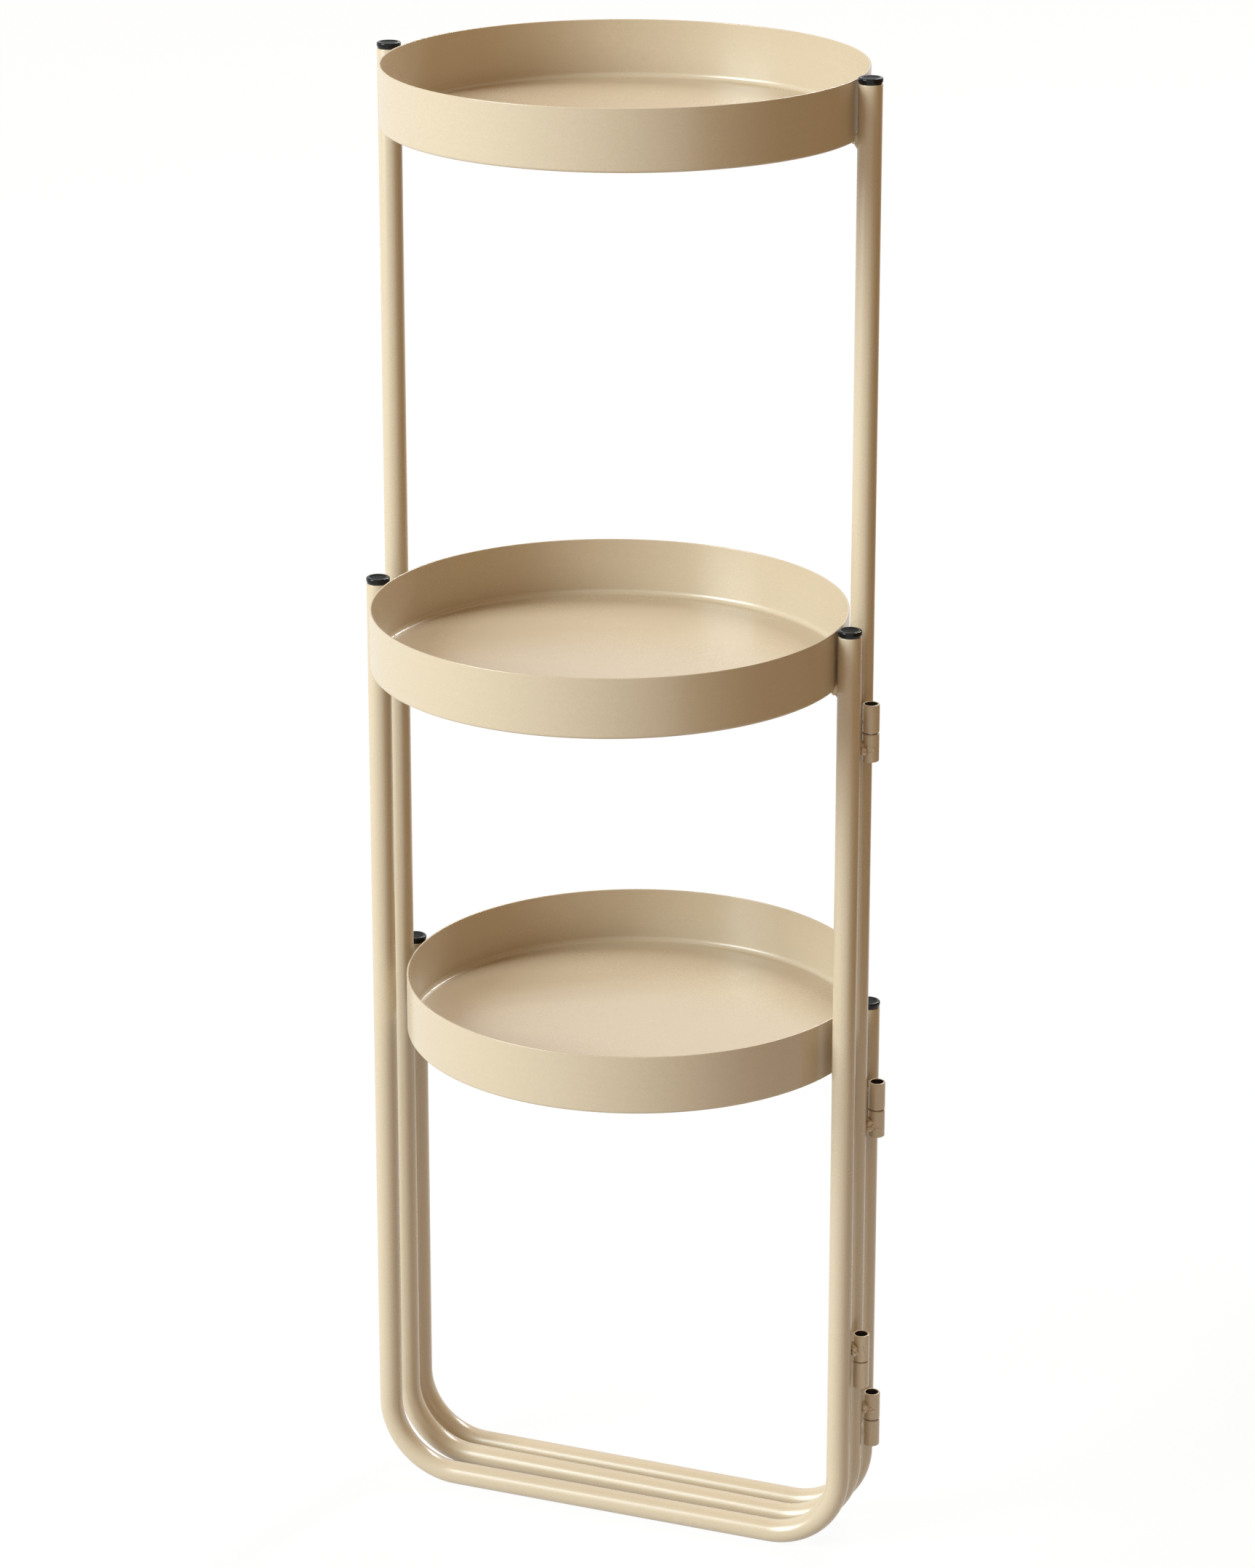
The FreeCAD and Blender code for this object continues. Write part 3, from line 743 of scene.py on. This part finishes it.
class PLANTSTAND_OT_plugs(bpy.types.Operator):
    """Makes the black plugs in the ends of the legs"""

    bl_idname = "plant_stand.plugs"
    bl_label = "End plugs"
    bl_options = {"REGISTER", "UNDO"}

    def execute(self, context):
        sizes = context.scene.stand_sizes
        finish = context.scene.stand_finish
        gloss = new_material("plug_gloss", paint_plug, finish,
                             finish.head_roughness, finish.head_gloss, finish.head_grain)
        dull = new_material("plug_dish", paint_plug, finish,
                            finish.dish_roughness, finish.dish_gloss, finish.dish_grain)
        for name in TRAY_OF:
            for side in LEGS:
                self.make_plug(f"{name}_{side}_plug", sizes, gloss, dull)
        return {"FINISHED"}

    def make_plug(self, node, sizes, gloss, dull):
        """Turns a plug from one outline: the dish, the head, and down the ribbed stem."""
        middle, head, low, high = round_box(node)
        seat = high - sizes.head_height
        taper = seat + sizes.head_taper
        foot = head - sizes.head_inset
        dish_floor = high - sizes.dish_depth
        dish_foot = sizes.dish_radius - sizes.dish_slope
        rib = tube_radius() - sizes.tube_wall - sizes.plug_clearance
        stem = rib - sizes.rib_depth
        outline = [(0, dish_floor), (dish_foot, dish_floor), (sizes.dish_radius, high), (head, high),
                   (head, taper), (foot, seat), (stem, seat)]
        for index in reversed(range(sizes.rib_count)):
            rib_foot = low + index * sizes.rib_pitch
            rib_head = rib_foot + sizes.rib_width
            outline += [(stem, rib_head), (rib, rib_head), (rib, rib_foot)]
            if index:
                outline.append((stem, rib_foot))
        outline.append((0, low))
        mesh = lathe(outline, sizes.small_steps)
        round_ring(mesh, head, high, sizes.head_round, sizes.round_steps)
        round_ring(mesh, head, taper, sizes.taper_round, sizes.lip_steps)
        round_ring(mesh, foot, seat, sizes.foot_round, sizes.lip_steps)
        round_ring(mesh, sizes.dish_radius, high, sizes.dish_round, sizes.lip_steps)
        round_ring(mesh, dish_foot, dish_floor, sizes.dish_corner, sizes.lip_steps)
        for face in mesh.faces:
            in_dish = face.calc_center_median().xy.length < sizes.dish_radius
            face.material_index = int(in_dish and face.normal.z > LOOKS_UP)
        bmesh.ops.translate(mesh, verts=mesh.verts, vec=middle)
        even_normals(add_piece(mesh, node, gloss, dull))


TRAY_WELD_SEED = 7
# Lumps in front of the gap between a tray and a leg: forward, towards the leg, above the underside, size.
FRONT_LUMPS = 5
FRONT_FORWARD = (1.6, 2.9)
FRONT_ASIDE = (-0.8, 1.2)
FRONT_RISE = (-0.8, 3.6)
FRONT_SIZES = (1.4, 2.0)
# The run down the leg, each value as a start and its change.
RUN_LUMPS = 3
RUN_FORWARD = (2.6, -0.2)
RUN_ASIDE = (1.0, 0.5)
RUN_DROP = (0.6, 0.9)
RUN_SIZES = (1.6, -0.15)
# The lump at the edge of the tray's underside.
EDGE_INSET = 1.6
EDGE_RISE = 0.6
EDGE_SIZE = 1.7
# Above this much over the underside, a bead lies on the tray's wall.
TRAY_SEAT_RISE = 2
TRAY_RIPPLE = 0.25
TRAY_PIT_RISE = (0.5, 2.5)
TRAY_PIT_SEARCH = 2


class PLANTSTAND_OT_tray_welds(bpy.types.Operator):
    """Makes the weld beads between the trays and their legs"""

    bl_idname = "plant_stand.tray_welds"
    bl_label = "Tray welds"
    bl_options = {"REGISTER", "UNDO"}

    def execute(self, context):
        sizes = context.scene.stand_sizes
        coat = coat_material(context, "weld_coat", lumps=context.scene.stand_finish.weld_lumps)
        draw = random.Random(TRAY_WELD_SEED)
        for name, tray in TRAY_OF.items():
            node = f"{name}_tray_welds"
            low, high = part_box(node)
            middle, outside, underside, _ = round_box(tray)
            front = frame_matrix(name).to_3x3() @ Vector((0, -1, 0))
            pits = []
            mesh = bmesh.new()
            for side in LEGS:
                leg = leg_axis(name, side)
                outward = (leg - middle).normalized()
                gap = middle + outward * (outside + ((leg - middle).length - outside - tube_radius()) / 2)
                stack_lumps(mesh, draw, low.z, high.z, gap, front * sizes.bead_radius, sizes.bead_radius)
                self.add_front(mesh, draw, gap, outward, front, underside)
                edge = gap - outward * EDGE_INSET * MM + UP * (underside + EDGE_RISE * MM)
                add_lump(mesh, edge, EDGE_SIZE * MM)
                rise = underside + draw.uniform(*TRAY_PIT_RISE) * MM
                pits.append(gap + front * PIT_REACH * MM + UP * rise)
            mesh = melt(mesh, sizes.bead_grain)
            roughen(mesh, RIPPLE_WIDTH * MM, TRAY_RIPPLE * MM)
            for pit in pits:
                press_pit(mesh, pit, TRAY_PIT_SEARCH * MM, front, sizes)
            seat_on(mesh, middle, outside, lowest=underside + TRAY_SEAT_RISE * MM)
            for side in LEGS:
                seat_on(mesh, leg_axis(name, side), tube_radius())
            add_piece(mesh, node, coat)
        return {"FINISHED"}

    def add_front(self, mesh, draw, gap, outward, front, underside):
        """Lumps in front of the gap, and a run down the leg."""
        for _ in range(FRONT_LUMPS):
            place = gap + front * draw.uniform(*FRONT_FORWARD) * MM
            place = place + outward * draw.uniform(*FRONT_ASIDE) * MM
            place = place + UP * (underside + draw.uniform(*FRONT_RISE) * MM)
            add_lump(mesh, place, draw.uniform(*FRONT_SIZES) * MM)
        for lump in range(RUN_LUMPS):
            forward, aside, drop, size = (start + change * lump for start, change
                                          in (RUN_FORWARD, RUN_ASIDE, RUN_DROP, RUN_SIZES))
            place = gap + front * forward * MM + outward * aside * MM
            add_lump(mesh, place + UP * (underside - drop * MM), size * MM)


HINGE_WELD_SEED = 19
# Lumps on the outer side of the gap between a knuckle and a leg: outward, height as a part of the bead,
# size.
OUTER_LUMPS = 4
OUTER_REACH = (1.6, 3.0)
OUTER_RISE = (0.25, 0.75)
OUTER_SIZES = (1.4, 1.9)
# Spatter on the knuckle, on its outer and its inner side: turn from the leg in degrees, height as a part of
# the bead, size, how far it stands out.
SPATTER_LUMPS = (8, 3)
SPATTER_TURN = (25, 85)
SPATTER_RISE = (0.15, 0.65)
SPATTER_SIZES = (1.0, 1.6)
SPATTER_PROUD = (0.2, 0.6)
HINGE_RIPPLE = 0.2
HINGE_PIT_RISE = 0.72
HINGE_PIT_SEARCH = 2.5


class PLANTSTAND_OT_hinge_welds(bpy.types.Operator):
    """Makes the weld beads between the knuckles and their legs"""

    bl_idname = "plant_stand.hinge_welds"
    bl_label = "Hinge welds"
    bl_options = {"REGISTER", "UNDO"}

    def execute(self, context):
        sizes = context.scene.stand_sizes
        coat = coat_material(context, "weld_coat", lumps=context.scene.stand_finish.weld_lumps)
        draw = random.Random(HINGE_WELD_SEED)
        for name in TRAY_OF:
            node = f"{name}_hinge_welds"
            knuckles = [knuckle for knuckle in nodes_ending("_knuckle") if BODY_OF[knuckle] == BODY_OF[node]]
            leg = leg_axis(name, "right")
            mesh = bmesh.new()
            pits = [self.add_bead(mesh, draw, leg, knuckle, sizes) for knuckle in knuckles]
            mesh = melt(mesh, sizes.bead_grain)
            roughen(mesh, RIPPLE_WIDTH * MM, HINGE_RIPPLE * MM)
            for pit, outer in pits:
                press_pit(mesh, pit, HINGE_PIT_SEARCH * MM, outer, sizes)
            seat_on(mesh, leg, tube_radius())
            for knuckle in knuckles:
                seat_on(mesh, *round_box(knuckle))
            add_piece(mesh, node, coat)
        return {"FINISHED"}

    def add_bead(self, mesh, draw, leg, knuckle, sizes):
        """Lumps between a leg and a knuckle, most on the outer side. Gives a pit's place and direction."""
        middle, outside, low, high = round_box(knuckle)
        towards = (middle - leg).normalized()
        outer = UP.cross(towards)
        outer *= math.copysign(1, outer.x)
        gap = leg + towards * (tube_radius() + (middle - leg).length - outside) / 2
        bead = sizes.bead_height
        foot = (low + high - bead) / 2
        stack_lumps(mesh, draw, foot, foot + bead, gap, outer * sizes.bead_radius, sizes.bead_radius)
        for _ in range(OUTER_LUMPS):
            height = foot + bead * draw.uniform(*OUTER_RISE)
            place = gap + outer * draw.uniform(*OUTER_REACH) * MM + UP * height
            add_lump(mesh, place, draw.uniform(*OUTER_SIZES) * MM)
        for side, lumps in zip((outer, -outer), SPATTER_LUMPS):
            for _ in range(lumps):
                turn = math.radians(draw.uniform(*SPATTER_TURN))
                out = side * math.sin(turn) - towards * math.cos(turn)
                height = foot + bead * draw.uniform(*SPATTER_RISE)
                size = draw.uniform(*SPATTER_SIZES) * MM
                proud = draw.uniform(*SPATTER_PROUD) * MM
                add_lump(mesh, middle + out * (outside - size + proud) + UP * height, size)
        return gap + outer * PIT_REACH * MM + UP * (foot + HINGE_PIT_RISE * bead), outer


def direction_to(turn, height):
    """Direction from the stand to what stands a turn to the left of straight ahead and a height up."""
    level = math.cos(height)
    return Vector((-math.sin(turn) * level, -math.cos(turn) * level, math.sin(height)))


class PLANTSTAND_OT_stage(bpy.types.Operator):
    """Makes the floor, the background, the lamps and the camera"""

    bl_idname = "plant_stand.stage"
    bl_label = "Stage"
    bl_options = {"REGISTER", "UNDO"}

    def execute(self, context):
        scene = context.scene
        stage = scene.stand_stage
        scene.view_settings.view_transform = "Standard"
        scene.world = scene.world or bpy.data.worlds.new("studio")
        self.paint_world(Paint(scene.world), stage)
        self.add_floor(stage)
        self.add_card(stage)
        for name in ("key", "rim"):
            self.add_lamp(name, stage)
        self.add_camera(scene, stage)
        return {"FINISHED"}

    def seen_directly(self, paint):
        """1 for what the camera sees, also by reflection or through glass."""
        rays = [paint.node("ShaderNodeLightPath", output=name)
                for name in ("Is Camera Ray", "Is Glossy Ray", "Is Transmission Ray")]
        return rays[0] | rays[1] | rays[2]

    def paint_world(self, paint, stage):
        """Background that shows white and gives a dimmer, warmer light from all round."""
        seen = self.seen_directly(paint)
        strength = seen + stage.ambient * (1 - seen)
        tone = paint.blend(seen, tinted(stage.ambient_tone), tinted(WHITE))
        glow = paint.node("ShaderNodeBackground", {}, {"Color": tone, "Strength": strength})
        paint.node("ShaderNodeOutputWorld", {}, {"Surface": glow})

    def paint_floor(self, paint, stage):
        """Pale floor that shows white, with a faint shadow left on it."""
        seen = self.seen_directly(paint)
        pale = paint.blend(seen, tinted(WHITE, stage.floor_level), tinted(WHITE))
        matt = paint.node("ShaderNodeBsdfDiffuse", {}, {"Color": pale})
        white = paint.node("ShaderNodeEmission", {}, {"Color": tinted(WHITE), "Strength": 1.0})
        shader = paint.node("ShaderNodeMixShader", {}, {0: stage.floor_white * seen, 1: matt, 2: white})
        paint.node("ShaderNodeOutputMaterial", {}, {"Surface": shader})

    def paint_card(self, paint, stage):
        """Dull brown card."""
        matt = paint.node("ShaderNodeBsdfDiffuse", {}, {"Color": tinted(stage.card_tone)})
        paint.node("ShaderNodeOutputMaterial", {}, {"Surface": matt})

    def add_floor(self, stage):
        """Lays the floor under the stand."""
        mesh = bmesh.new()
        bmesh.ops.create_grid(mesh, x_segments=1, y_segments=1, size=stage.floor_reach)
        new_object("floor", mesh, new_material("floor_pale", self.paint_floor, stage))

    def add_card(self, stage):
        """Stands a dark card beside the stand, out of sight, so that its right-hand sides fall into shade."""
        mesh = bmesh.new()
        # A square of one metre, scaled to the card's size after.
        bmesh.ops.create_grid(mesh, x_segments=1, y_segments=1, size=0.5,
                              matrix=Matrix.Rotation(QUARTER_TURN, 4, "Y"))
        bmesh.ops.scale(mesh, verts=mesh.verts, vec=(1, stage.card_width, stage.card_height))
        middle = stage.card_rise + stage.card_height / 2
        bmesh.ops.translate(mesh, verts=mesh.verts, vec=(stage.card_distance, 0, middle))
        bmesh.ops.rotate(mesh, verts=mesh.verts, matrix=Matrix.Rotation(stage.card_turn, 3, "Z"))
        card = new_object("dark_card", mesh, new_material("card_dark", self.paint_card, stage))
        card.visible_camera = False

    def add_lamp(self, name, stage):
        """Flat lamp that faces the middle of the stand, from the values of its name."""
        turn, height, distance, width, depth, watts, tone = (
            getattr(stage, f"{name}_{value}")
            for value in ("turn", "height", "distance", "width", "depth", "power", "tone"))
        data = bpy.data.lights.new(f"{name}_lamp", "AREA")
        data.shape = "RECTANGLE"
        data.size = width
        data.size_y = depth
        data.energy = watts
        data.color = tone
        lamp = bpy.data.objects.new(f"{name}_lamp", data)
        bpy.context.scene.collection.objects.link(lamp)
        back = direction_to(turn, height)
        lamp.location = (CAD_BOX[0] + CAD_BOX[1]) / 2 + back * distance
        lamp.rotation_euler = back.to_track_quat("Z", "Y").to_euler()

    def add_camera(self, scene, stage):
        """Camera at the picture's angle."""
        data = bpy.data.cameras.new("camera")
        data.sensor_width = stage.sensor
        data.lens = stage.lens
        data.shift_y = stage.shift
        camera = bpy.data.objects.new("camera", data)
        scene.collection.objects.link(camera)
        look = -direction_to(-stage.camera_turn, stage.camera_pitch)
        camera.location = stage.camera_place
        camera.rotation_euler = look.to_track_quat("-Z", "Y").to_euler()
        scene.camera = camera


OPERATORS = (PLANTSTAND_OT_tubes, PLANTSTAND_OT_trays, PLANTSTAND_OT_tray_welds, PLANTSTAND_OT_knuckles,
             PLANTSTAND_OT_pins, PLANTSTAND_OT_hinge_welds, PLANTSTAND_OT_plugs, PLANTSTAND_OT_stage)
GROUPS = {"stand_sizes": StandSizes, "stand_finish": StandFinish, "stand_stage": StandStage}


class PLANTSTAND_PT_sidebar(bpy.types.Panel):
    """Lists the steps that make the stand"""

    bl_idname = "PLANTSTAND_PT_sidebar"
    bl_label = "Folding plant stand"
    bl_space_type = "VIEW_3D"
    bl_region_type = "UI"
    bl_category = "Plant stand"

    def draw(self, context):
        for operator in OPERATORS:
            self.layout.operator(operator.bl_idname)
        for name in GROUPS:
            group = getattr(context.scene, name)
            box = self.layout.box()
            for value in group.__annotations__:
                box.prop(group, value)


def register():
    """Adds the groups of values, the operators and the panel."""
    for name, group in GROUPS.items():
        bpy.utils.register_class(group)
        setattr(bpy.types.Scene, name, PointerProperty(type=group))
    for operator in (*OPERATORS, PLANTSTAND_PT_sidebar):
        bpy.utils.register_class(operator)


def unregister():
    """Takes away what register adds."""
    for operator in reversed((*OPERATORS, PLANTSTAND_PT_sidebar)):
        bpy.utils.unregister_class(operator)
    for name, group in GROUPS.items():
        delattr(bpy.types.Scene, name)
        bpy.utils.unregister_class(group)


def main():
    """Makes the stand and its stage."""
    register()
    bpy.ops.plant_stand.tubes()
    bpy.ops.plant_stand.trays()
    bpy.ops.plant_stand.tray_welds()
    bpy.ops.plant_stand.knuckles()
    bpy.ops.plant_stand.pins()
    bpy.ops.plant_stand.hinge_welds()
    bpy.ops.plant_stand.plugs()
    bpy.ops.plant_stand.stage()


if __name__ == "__main__":
    main()
